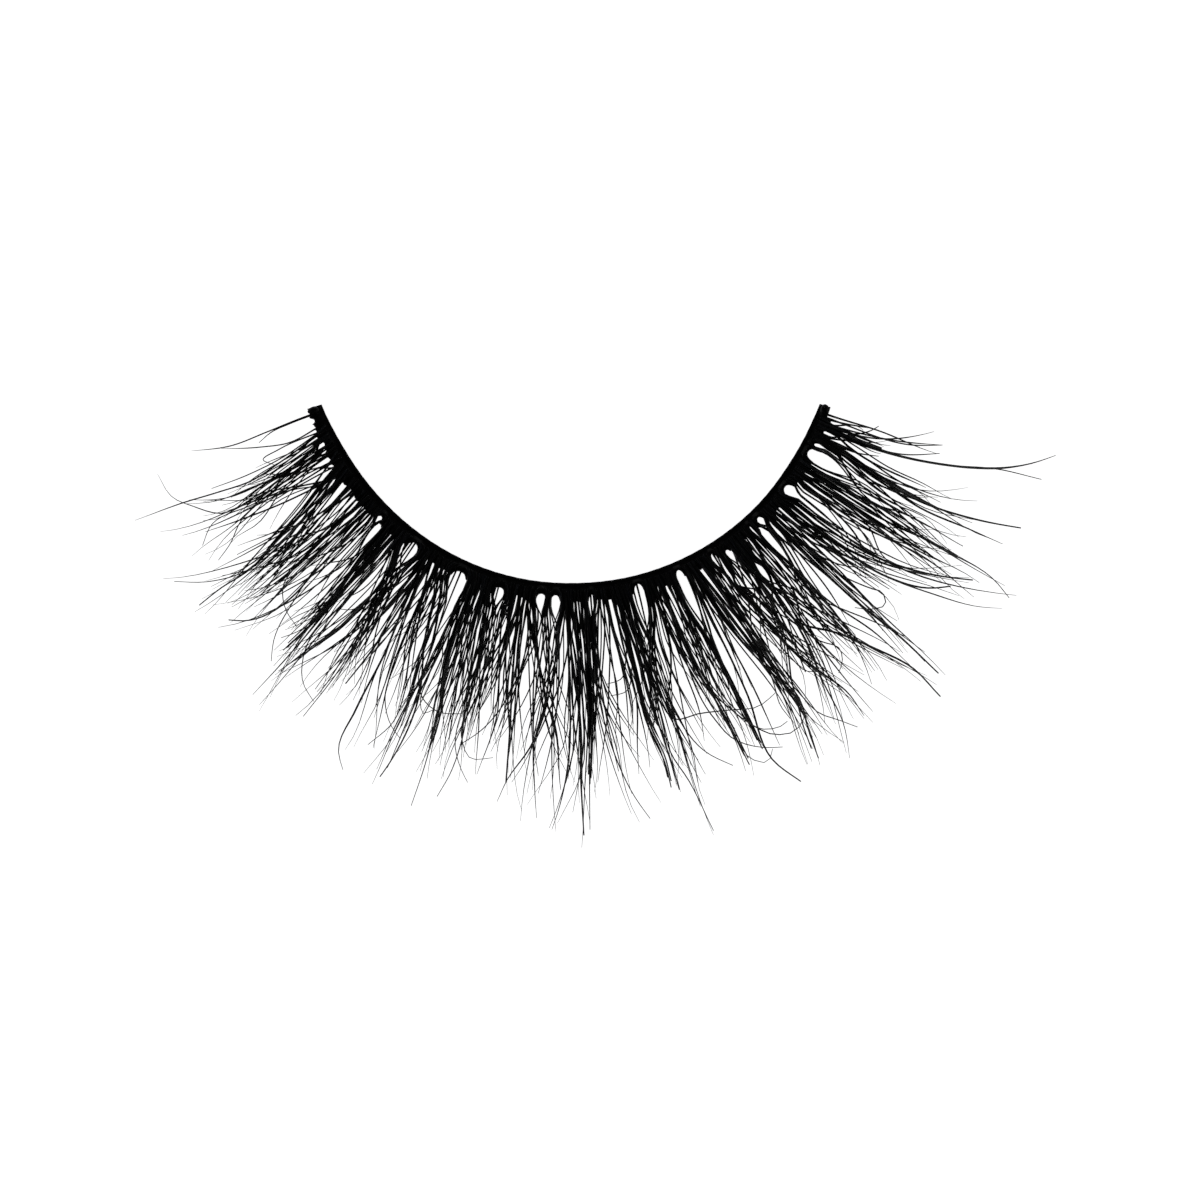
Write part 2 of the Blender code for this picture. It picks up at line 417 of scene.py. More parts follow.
random.seed(7)
cord_half = BAND_WIDTH / 2
cord_rise = BAND_TOP / 2
cord_section = []
for side in range(CORD_SIDES):
    turn = 2 * math.pi * side / CORD_SIDES
    wide, high = math.cos(turn), math.sin(turn)
    size = (abs(wide) ** CORD_FLATNESS + abs(high) ** CORD_FLATNESS) ** (-1 / CORD_FLATNESS)
    cord_section.append((cord_half * (1 + wide * size), cord_rise * (1 + high * size)))
bm = lid_bar(cord_section, CORD_STEPS)
for vert in bm.verts:
    place, out = lid_place(vert.co)
    around = math.atan2(vert.co.z / cord_rise - 1, out / cord_half - 1)
    turns = place * RADIANS_PER_PLACE * LID_RADIUS / TWIST_LENGTH * 2 * math.pi
    ply_wave = PLY_SHARE * math.cos(turns + PLIES * around)
    thread_wave = THREAD_SHARE * math.cos(THREAD_TURNS * turns + THREADS * around)
    push = TWIST_DEPTH * (ply_wave + thread_wave)
    if abs(place) > CHART_HALF - FRAYED_PLACES:
        push += random.uniform(-0.3, 1.0) * FRAY
    bend = hand_bend(place) * (1 - out / BAND_WIDTH)
    x, y = lid_xy(place, out - bend + push * math.cos(around))
    vert.co = (float(x), float(y), vert.co.z + push * math.sin(around))
uv_layer = bm.loops.layers.uv.new("UVMap")
for face in bm.faces:
    for loop in face.loops:
        place, out = lid_place(loop.vert.co)
        around = math.atan2(loop.vert.co.z - cord_rise, out - cord_half)
        loop[uv_layer].uv = (place * RADIANS_PER_PLACE * LID_RADIUS / MM, around * cord_half / MM)
band_cord = finish_piece(bm, "band_cord", band_cotton, smooth_angle=60)
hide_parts("band")

# %% [markdown]
# ## The windows in the root glue
#
# The glue runs out from the band over the roots, and between some locks it draws back and leaves
# a little arched window. They are the most regular mark of the strip, so they are charted one by
# one. The same chart later parts the hairs, so that they curve round each window.

# %% Chart of the windows
# place along the band, half width in places, top and bottom as reach
WINDOWS = (
    (-69.2, 0.55, 5.5, 24),
    (-64.0, 0.45, 5.5, 10),
    (-62.7, 0.40, 6.0, 9),
    (-44.5, 0.65, 4.0, 9),
    (-43.6, 0.45, 6.5, 20),
    (-35.4, 1.25, 3.6, 17),
    (-24.0, 1.45, 4.4, 17),
    (-15.1, 0.95, 5.0, 14),
    (-6.3, 1.00, 4.4, 12),
    (-3.3, 0.85, 4.5, 18),
    (4.2, 0.55, 4.4, 14),
    (14.2, 0.95, 3.2, 30),
    (23.3, 0.80, 3.2, 34),
    (31.3, 0.55, 3.6, 13),
    (34.3, 0.50, 5.4, 13),
    (32.6, 0.35, 17.0, 23),
    (37.6, 0.55, 17.0, 33),
    (41.3, 0.45, 3.8, 10),
    (43.8, 0.80, 3.4, 9),
    (42.6, 0.60, 9.0, 30),
    (52.5, 1.20, 3.2, 10),
    (61.4, 1.25, 3.4, 30),
    (63.5, 0.45, 4.2, 9),
    (66.6, 0.35, 5.5, 16),
)
GLUE_REACH = 6.6
GLUE_UNEVENNESS = 0.7
# share, radians for each place, starting angle
GLUE_WAVES = ((0.5, 1.7, 0), (0.3, 4.1, 1), (0.2, 9.3, 0))
OUTER_END_PLACES = 2.2
OUTER_END_REACH = 4.6
print(len(WINDOWS), "windows charted")


def glue_edge(place):
    """How far out the glue runs at this place, as reach: an arch over each window."""
    wander = sum(share * math.sin(place * rate + start) for share, rate, start in GLUE_WAVES)
    edge = GLUE_REACH + GLUE_UNEVENNESS * wander
    if place > CHART_HALF - OUTER_END_PLACES:
        edge = OUTER_END_REACH
    for centre, half, top, _ in WINDOWS:
        if abs(place - centre) < half and top < edge:
            arch = 1 - math.sqrt(1 - ((place - centre) / half) ** 2)
            edge = min(edge, top + (edge - top) * arch)
    return edge


# %% [markdown]
# ## The root glue
#
# The glue is one thin skin, thick at the band and thin at its outer lip. After the grid is rolled,
# every vertex slides out or in so that the lip follows the chart of windows, and low ridges run
# across the skin where the roots lie under it.

# %% The root glue: a scalloped skin over the roots
GLUE_STEPS = 1440
RIDGE_SPACING = 0.42
RIDGE_HEIGHT = 0.022
GLUE_START = 0.16
# share of the way to the lip, and height above the band's top in mm
GLUE_SECTION = (
    (0.00, 0.01),
    (0.15, 0.06),
    (0.35, 0.14),
    (0.60, 0.20),
    (0.80, 0.20),
    (0.94, 0.16),
    (1.00, 0.08),
    (0.93, 0.02),
    (0.75, -0.02),
    (0.45, -0.03),
    (0.20, -0.02),
)

bm = lid_bar([(share * MM, height * MM) for share, height in GLUE_SECTION], GLUE_STEPS)
for vert in bm.verts:
    place, out = lid_place(vert.co)
    share, height = out / MM, vert.co.z / MM
    lip = glue_edge(place) / CHART_REACH * LASH_REACH / MM
    ridge = RIDGE_HEIGHT * math.cos(2 * math.pi * place / RIDGE_SPACING + 1.5 * math.sin(place))
    height += ridge * share * (height > 0)
    x, y = lid_xy(place, (GLUE_START + share * (lip - GLUE_START)) * MM)
    vert.co = (float(x), float(y), BAND_TOP + height * MM)
finish_piece(bm, "root_glue", root_latex, smooth_angle=50)

# %% [markdown]
# The inner end of the strip was cut and sealed with a drop of glue, which shows as a small knob on
# its outer side. The outer end has a thinner drop.

# %% Glue drops on the two cut ends
# place, reach, half sizes along the band, outwards and upwards in mm
END_DROPS = ((-71.3, 4.6, 0.20, 0.30, 0.24), (71.2, 2.7, 0.26, 0.22, 0.20))
DROP_HEIGHT = 0.12 * MM
LUMPS = 0.06

bm = bmesh.new()
for place, reach, along, outwards, upwards in END_DROPS:
    drop = bmesh.ops.create_icosphere(bm, subdivisions=4, radius=1.0)["verts"]
    x, y = lid_xy(place, reach / CHART_REACH * LASH_REACH)
    angle = place * RADIANS_PER_PLACE
    for vert in drop:
        spot = vert.co.copy()
        lump = 1 + LUMPS * math.sin(3 * spot.x + 2 * spot.y) * math.cos(4 * spot.z + spot.x)
        a, b = spot.x * along * lump * MM, -spot.y * outwards * lump * MM
        vert.co = (
            float(x) + a * math.cos(angle) - b * math.sin(angle),
            float(y) + a * math.sin(angle) + b * math.cos(angle),
            BAND_TOP + DROP_HEIGHT + spot.z * upwards * lump * MM,
        )
finish_piece(bm, "end_glue_drops", root_latex, smooth_angle=60)

# %% [markdown]
# ## Hair paths
#
# A hair is a line in the chart that also curls up. It leaves the glue almost flat, and its slope
# grows along it, as on fibre that was set round a rod. So height follows from how far the hair has
# gone in plan: a straight rise for its lift, plus the arc of the curl. Beside a charted window the
# hair makes room for it, and swings back below it.


# %% From chart to curled hair
CURL_RADIUS = 19.0 * MM
ROOT_REACH = 2.2
ROOT_TOP = BAND_TOP + 0.12 * MM
SECTIONS = 20
SIDES = 6
CURL_LIMIT = 0.9
BODY_TAPER = 0.18
TIP_FROM = 0.75
TIP_TAPER = 0.7
ROOT_SWELL = 0.75
SWELL_REACH = 7.5
WINDOW_LEAD = 2.6
WINDOW_CLOSING = 1.25
WINDOW_ROOM = 1.15
WINDOW_HALVES_FELT = 3


def eased(share):
    """A share from 0 to 1 that starts and ends softly."""
    return share * share * (3 - 2 * share)


def part_round_windows(places, reaches):
    """A hair's places, moved aside where it would cross a window."""
    for centre, half, top, bottom in WINDOWS:
        opened = eased(np.clip((reaches - (top - WINDOW_LEAD)) / WINDOW_LEAD, 0, 1))
        closed = eased(np.clip(WINDOW_CLOSING * (bottom - reaches) / (bottom - top), 0, 1))
        room = WINDOW_ROOM * half * opened * closed
        side = 1 if places[0] > centre else -1
        away = side * (places - centre)
        passing = away + room * (1 - np.clip(away / (WINDOW_HALVES_FELT * half), 0, 1))
        crossing = room + away * (1 - room / max(room.max(), 1e-9))
        beside = np.where(away > 0, passing, crossing)
        places = centre + side * np.where(room > 0, beside, away)
    return places


def curled(places, reaches, lift, root_height):
    """Points of a hair, from its places and reaches in the chart."""
    x, y = lid_xy(places, reaches / CHART_REACH * LASH_REACH)
    steps = np.hypot(np.diff(x), np.diff(y))
    gone = np.concatenate(([0], np.cumsum(steps)))
    bent = np.minimum(gone / CURL_RADIUS, CURL_LIMIT)
    z = root_height + gone * math.tan(lift) + CURL_RADIUS * (1 - np.sqrt(1 - bent * bent))
    return np.stack([x, y, z], axis=1)


def girth(place):
    """Hairs are finer at the inner corner of the eye and stouter at the outer corner."""
    return 0.92 + 0.10 * place / CHART_HALF


def hair_radii(reaches, diameter, tip_taper=TIP_TAPER):
    """Half thickness along a hair: glue at its root, a slight taper, then the ground tip."""
    shares = np.linspace(0, 1, len(reaches))
    body = 1 - BODY_TAPER * shares
    tip = 1 - tip_taper * np.clip((shares - TIP_FROM) / (1 - TIP_FROM), 0, 1)
    glue = 1 + ROOT_SWELL * np.exp(-reaches / SWELL_REACH)
    return diameter / 2 * body * tip * glue


# %% [markdown]
# Each hair becomes a six-sided tube. All the rings of all the hairs are worked out at once: at each
# point, one direction lies flat across the hair and one stands up from it, and the ring turns
# through both. The UV map runs round the hair and along it in millimetres, and every hair writes
# its own tone, which also sets how much painted blue-grey sheen its colour gets.


# %% Hairs as one joined mesh
PATTERN_SHIFT = 0.37
HAIR_SMOOTH_ANGLE = 75


def hair_piece(name, hairs):
    """Joins hairs, each (points, radii, tone), in one mesh of closed tubes; the tone also sets the
    painted sheen.
    """
    points = np.array([hair[0] for hair in hairs])
    radii = np.array([hair[1] for hair in hairs])
    tones_and_sheen = np.array([hair[2] for hair in hairs])
    count, length = radii.shape
    tangents = np.gradient(points, axis=1)
    tangents /= np.linalg.norm(tangents, axis=2, keepdims=True)
    flat = np.cross(tangents, (0.0, 0.0, 1.0))
    flat /= np.linalg.norm(flat, axis=2, keepdims=True)
    rise = np.cross(flat, tangents)
    turn = 2 * np.pi * np.arange(SIDES) / SIDES
    ring = (
        np.cos(turn)[:, None] * flat[:, :, None, :] + np.sin(turn)[:, None] * rise[:, :, None, :]
    )
    verts = points[:, :, None, :] + radii[:, :, None, None] * ring
    first = np.arange(count)[:, None, None] * length * SIDES
    row = np.arange(length - 1)[None, :, None] * SIDES
    side = np.arange(SIDES)[None, None, :]
    after = (side + 1) % SIDES
    corners = (
        first + row + side,
        first + row + after,
        first + row + SIDES + after,
        first + row + SIDES + side,
    )
    walls = np.stack(np.broadcast_arrays(*corners), axis=-1).reshape(-1, 4)
    roots = (first[:, 0] + np.arange(SIDES)[::-1][None, :]).tolist()
    tips = (first[:, 0] + (length - 1) * SIDES + np.arange(SIDES)[None, :]).tolist()
    mesh = bpy.data.meshes.new(name)
    mesh.from_pydata(verts.reshape(-1, 3).tolist(), [], walls.tolist() + roots + tips)
    mesh.update()

    steps = np.linalg.norm(np.diff(points, axis=1), axis=2) / MM
    along = np.concatenate((np.zeros((count, 1)), np.cumsum(steps, axis=1)), axis=1)
    loop_verts = np.zeros(len(mesh.loops), np.int32)
    mesh.loops.foreach_get("vertex_index", loop_verts)
    ring_of, side_of = loop_verts // SIDES, loop_verts % SIDES
    round_mm = side_of * 2 * np.pi * radii.reshape(-1)[ring_of] / SIDES / MM
    offset = (ring_of // length) * PATTERN_SHIFT
    uv = np.stack([round_mm + offset, along.reshape(-1)[ring_of]], axis=1)
    mesh.uv_layers.new(name="UVMap").data.foreach_set("uv", uv.astype(np.float32).ravel())
    tone = mesh.attributes.new("hair_tone_and_sheen", "FLOAT", "POINT")
    tone.data.foreach_set("value", np.repeat(tones_and_sheen, length * SIDES).astype(np.float32))

    mesh.shade_smooth()
    mesh.set_sharp_from_angle(angle=math.radians(HAIR_SMOOTH_ANGLE))
    mesh.materials.append(lash_fibre)
    piece = bpy.data.objects.new(name, mesh)
    bpy.context.scene.collection.objects.link(piece)
    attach(piece, "root")
    print(f"{name}: {count} hairs, {sum(len(p.vertices) - 2 for p in mesh.polygons)} triangles")
    return piece


# %% [markdown]
# ## The locks
#
# The fringe is laid lock by lock, and so is this chart. A lock has a root and a tip along the band
# and a reach. Bow carries its middle to one side, and hook bends its outer half the other way from
# its inner half. Weight says how many hairs it has, layer how high it lies, gather how closely its
# tips draw together, and body how much of the reach its main hairs have. The rest are longer tails.

# %% Chart of the locks
# root, tip, reach, bow, hook, weight, layer, gather, body
LOCKS = (
    (-65.6, -63.3, 38, 0.6, 0, 0.80, 1, 0.3, 0.92),
    (-64, -61.4, 50, 0.9, 0, 0.60, 1, 0.5, 0.90),
    (-63.2, -58.8, 64, 0.4, 0, 0.59, 1, 0.7, 0.85),
    (-61.5, -62.6, 67, 1.4, 0, 0.59, 0, 0.8, 0.85),
    (-59.2, -52.7, 77, 2.5, 0, 1.06, 2, 0.6, 0.85),
    (-57, -61.3, 52, -0.6, 0, 0.59, 0, 0.9, 0.85),
    (-56.3, -50.7, 67, 1.5, 0, 0.81, 1, 0.8, 0.85),
    (-54.6, -52.7, 57, 0.8, 0, 0.72, 0, 0.8, 0.85),
    (-52.8, -50.2, 62, 1, 0, 0.72, 1, 0.9, 0.85),
    (-50.6, -56.8, 80, 1.1, 0, 0.42, 0, 0.9, 0.80),
    (-49.2, -49.2, 65, 0.7, 0, 0.97, 1, 0.8, 0.85),
    (-47.6, -47, 67, 0, 0, 0.97, 2, 0.8, 0.85),
    (-46, -49, 73, 1.9, 0, 0.86, 0, 0.7, 0.85),
    (-42.6, -42.4, 62, 1.2, 0, 1.13, 1, 0.5, 0.90),
    (-41, -40.5, 85, 0.3, 0, 1.08, 2, 0.5, 0.80),
    (-39.5, -41.2, 66, 0.2, 0, 0.92, 0, 0.6, 0.85),
    (-38, -33.2, 66, 0.8, 0, 0.92, 1, 0.9, 0.85),
    (-37, -34.2, 81, 1.4, 0, 0.76, 2, 0.7, 0.80),
    (-34, -40, 76, 0.6, 0, 1.24, 0, 0.6, 0.85),
    (-32.4, -33.7, 63, -0.4, 0, 0.86, 1, 0.9, 0.85),
    (-31.2, -27.5, 75, -0.1, 0.3, 0.76, 2, 0.8, 0.85),
    (-30.3, -32, 62, 0.3, 0, 0.92, 0, 0.8, 0.85),
    (-29.2, -24, 63, -0.3, 0, 0.97, 1, 0.8, 0.85),
    (-27.4, -22.7, 86, 1.5, 0, 1.03, 2, 0.6, 0.80),
    (-25.8, -29, 42, 0, 0, 0.65, 0, 0.9, 0.90),
    (-22.2, -23.5, 68, 0.4, 0, 1.04, 1, 0.7, 0.85),
    (-21.2, -18.5, 84, 0.5, 0, 1.49, 2, 0.15, 0.80),
    (-19.6, -19, 70, 0.3, 0, 1.21, 0, 0.25, 0.95),
    (-18.3, -14.6, 66, 0.2, 0, 1.04, 1, 0.7, 0.85),
    (-16.9, -16.2, 72, 0.3, 0, 0.88, 2, 0.9, 0.85),
    (-13.8, -11.3, 60, 0, 0, 1.04, 1, 0.8, 0.85),
    (-12.2, -15, 77, -0.7, 0, 1.04, 0, 0.8, 0.85),
    (-10.4, -8.1, 77, 0, 0, 1.10, 2, 0.4, 0.85),
    (-8.9, -12, 64, -0.2, 0, 0.94, 0, 0.9, 0.85),
    (-7.9, -1.4, 77, 0.3, 0, 0.94, 1, 0.6, 0.85),
    (-4.8, -4, 88, 0, -0.4, 0.77, 2, 0.6, 0.80),
    (-2.2, -8, 77, 1.6, 0, 0.94, 0, 0.7, 0.80),
    (-1.2, -2.2, 92, 1.6, 0, 0.88, 1, 0.5, 0.85),
    (-0.1, 1.4, 95, 0.6, 0, 0.94, 2, 0.4, 0.85),
    (1.4, 2.3, 76, 0.6, 0, 1.13, 1, 0.15, 0.83),
    (2.9, 9, 91, -1.3, 0.3, 0.52, 2, 0.8, 0.72),
    (5.2, 2.6, 72, 0.1, 0, 1.08, 0, 0.25, 0.83),
    (7.2, 8.5, 74, 0.6, 0, 0.80, 1, 0.8, 0.82),
    (9, 12.1, 81, 0, 0, 1.17, 0, 0.15, 0.83),
    (10.6, 13, 82, 0.1, 0, 0.94, 2, 0.2, 0.83),
    (12.2, 15.6, 100, 0.2, -0.2, 0.80, 1, 0.6, 0.77),
    (15.6, 11.5, 62, -0.3, 0, 0.89, 0, 0.7, 0.82),
    (17, 16.5, 79, -0.7, 0, 0.61, 1, 0.8, 0.77),
    (18.2, 21.9, 81, 0.1, 0, 1.13, 2, 0.2, 0.83),
    (20, 20.8, 66, 0, 0, 0.94, 0, 0.5, 0.83),
    (21.9, 24.1, 77, 0.4, 0, 1.03, 1, 0.2, 0.83),
    (25.2, 24.4, 57, 0, 0, 1.03, 0, 0.8, 0.85),
    (26.8, 29.5, 90, 1.6, 0, 1.44, 2, 0.2, 0.90),
    (28.6, 31.2, 83, 0.6, 0, 1.03, 1, 0.4, 0.88),
    (30.2, 36.6, 86, 0.1, 0, 1.21, 2, 0.5, 0.85),
    (32.9, 35.2, 62, -0.2, 0, 1.03, 1, 0.6, 0.90),
    (35.7, 31.2, 63, 1.1, 0, 1.03, 0, 0.7, 0.85),
    (36.4, 44.5, 99, -0.5, 1.4, 0.69, 2, 0.3, 0.75),
    (37.4, 33, 95, 1.4, 0, 0.80, 0, 0.7, 0.80),
    (38.7, 38.9, 85, -1.2, 0, 0.86, 1, 0.9, 0.80),
    (40.1, 41, 77, 0.5, 0, 1.03, 2, 0.7, 0.85),
    (44.6, 40.8, 75, -0.7, 0, 0.86, 0, 0.9, 0.80),
    (45.8, 46.2, 92, -0.2, 0, 1.15, 1, 0.4, 0.85),
    (47, 50.8, 60, -0.8, 0, 0.92, 2, 0.7, 0.85),
    (48.6, 49.8, 60, 0, 0, 1.09, 0, 0.8, 0.85),
    (50.2, 55.1, 76, -1.7, 0, 0.66, 1, 0.5, 0.90),
    (51, 56.3, 96, -2.2, 0, 0.48, 2, 0.5, 0.80),
    (54.6, 51.2, 55, 0.8, 0, 0.63, 0, 0.6, 0.90),
    (55.4, 57.2, 81, -0.9, 0, 0.66, 1, 0.6, 0.85),
    (56.8, 57, 64, 0, 0, 0.59, 0, 0.5, 0.90),
    (58.2, 57.8, 90, 0.6, 0, 0.66, 2, 0.3, 0.76),
    (59.5, 58.7, 71, 0, 0, 0.59, 1, 0.6, 0.90),
    (63.5, 62.7, 80, -0.9, 0, 0.86, 1, 0.7, 0.68),
    (64.8, 64.2, 72, -1.3, 0, 0.70, 2, 0.9, 0.75),
    (66.6, 64.2, 57, -0.7, 0, 0.44, 0, 0.8, 0.85),
    (67.6, 68, 30, 0, 0, 0.75, 2, 0.5, 0.90),
    (69, 71.7, 50, -0.5, 0, 0.34, 1, 0.7, 0.85),
)
print(len(LOCKS), "locks charted")

# %% [markdown]
# A lock's roots stand side by side along the band, while its tips are dealt out in another order,
# so that hairs cross inside the lock and leave narrow almond gaps. One hair of each larger lock
# leans over to a neighbour, and three fine ones wander loosely. All the random draws come from one
# seeded generator, so every run gives the same fringe.

# %% Lay the hairs of every lock
HAIRS_PER_LOCK = 3.5
ROOT_HALF = 2.1
TIP_HALF = 2.2
STAND_SHARE = 0.3
DEALT_SHARE = 0.7
TAIL_RARITY = 2.2
SHORT_SHARE = 0.96
LONG_SHARE = 1.06
LOWEST_LIFT = math.radians(3.0)
LAYER_LIFT = math.radians(3.5)
MAIN_DIAMETER = 0.093 * MM
LEANING_DIAMETER = 0.086 * MM
LEANING_WEIGHT = 0.5
LEANING_REACH = (0.7, 1.1)
LEANING_OFFSET = (1.5, 3.0)
FINE_HAIRS = 3
FINE_DIAMETER = 0.076 * MM
FINE_REACH = (0.85, 1.35)
FINE_ROOT_HALF = 1.8
FINE_TIP_HALF = 2.4
FINE_LOOSENESS = 2.0
LONGEST_FINE = 90
DENSER_AT_ROOT = 1.35

draw = random.Random(41)
shares = np.linspace(0, 1, SECTIONS) ** DENSER_AT_ROOT


def lock_hair(row, root_off, tip_off, reach, diameter, loose=1.0):
    """One hair of a lock, with a wave and a flick of its own that grow with how loose it is."""
    root, tip, _, bow, hook, _, layer, _, _ = row
    swing = 4 * shares * (1 - shares)
    offset = root_off * (1 - shares) + tip_off * shares**1.3
    own_bow, own_hook = draw.uniform(-0.8, 0.8), draw.uniform(-0.3, 0.3)
    waves, phase = draw.uniform(1.2, 4.0), draw.uniform(0, 6)
    wave = loose * draw.uniform(0.1, 0.45) * shares * np.sin(math.pi * shares * waves + phase)
    flick = loose * draw.uniform(-0.8, 0.8) * shares**4
    places = root + (tip - root) * shares + (bow + own_bow) * swing
    places = places + (hook + own_hook) * swing * (2 * shares - 1) + offset + wave + flick
    reaches = ROOT_REACH + (reach - ROOT_REACH) * shares
    places = part_round_windows(places, reaches)
    lift = LOWEST_LIFT + LAYER_LIFT * layer + math.radians(draw.uniform(-1.5, 1.5))
    points = curled(places, reaches, lift, ROOT_TOP + draw.uniform(-0.06, 0.06) * MM)
    radii = hair_radii(reaches, diameter * girth(root) * draw.uniform(0.85, 1.15))
    return points, radii, draw.uniform(0.1, 0.9)


lock_hairs = []
for row in LOCKS:
    _, _, reach, _, _, weight, _, gather, body = row
    count = max(2, round(HAIRS_PER_LOCK * weight))
    spread = np.linspace(-1, 1, count)
    order = list(spread)
    draw.shuffle(order)
    for number, (stand, dealt) in enumerate(zip(spread, order)):
        tail = (number / (count - 1)) ** TAIL_RARITY
        own_reach = reach * (body + (1 - body) * tail) * draw.uniform(SHORT_SHARE, LONG_SHARE)
        root_off = ROOT_HALF * weight**0.5 * stand + draw.uniform(-0.1, 0.1)
        tip_off = TIP_HALF * gather * (STAND_SHARE * stand + DEALT_SHARE * dealt)
        lock_hairs.append(lock_hair(row, root_off, tip_off, own_reach, MAIN_DIAMETER))
    if weight <= LEANING_WEIGHT:
        continue
    own_reach = reach * body * draw.uniform(*LEANING_REACH)
    tip_off = draw.choice((-1, 1)) * draw.uniform(*LEANING_OFFSET)
    lock_hairs.append(lock_hair(row, draw.uniform(-1, 1), tip_off, own_reach, LEANING_DIAMETER))
    for _ in range(FINE_HAIRS):
        own_reach = min(reach * body * draw.uniform(*FINE_REACH), LONGEST_FINE)
        tip_off = draw.uniform(-FINE_TIP_HALF, FINE_TIP_HALF)
        root_off = draw.uniform(-FINE_ROOT_HALF, FINE_ROOT_HALF)
        hair = lock_hair(row, root_off, tip_off, own_reach, FINE_DIAMETER, FINE_LOOSENESS)
        lock_hairs.append(hair)
lash_locks = hair_piece("lash_locks", lock_hairs)
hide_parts("lash_fringe")

# %% [markdown]
# ## Single hairs
#
# What makes a strip look hand laid is the hairs that leave their lock: long thin ends, hairs that
# wander across their neighbours, and a few loops. Each is charted by the points it passes, and a
# smooth spline is drawn through them.

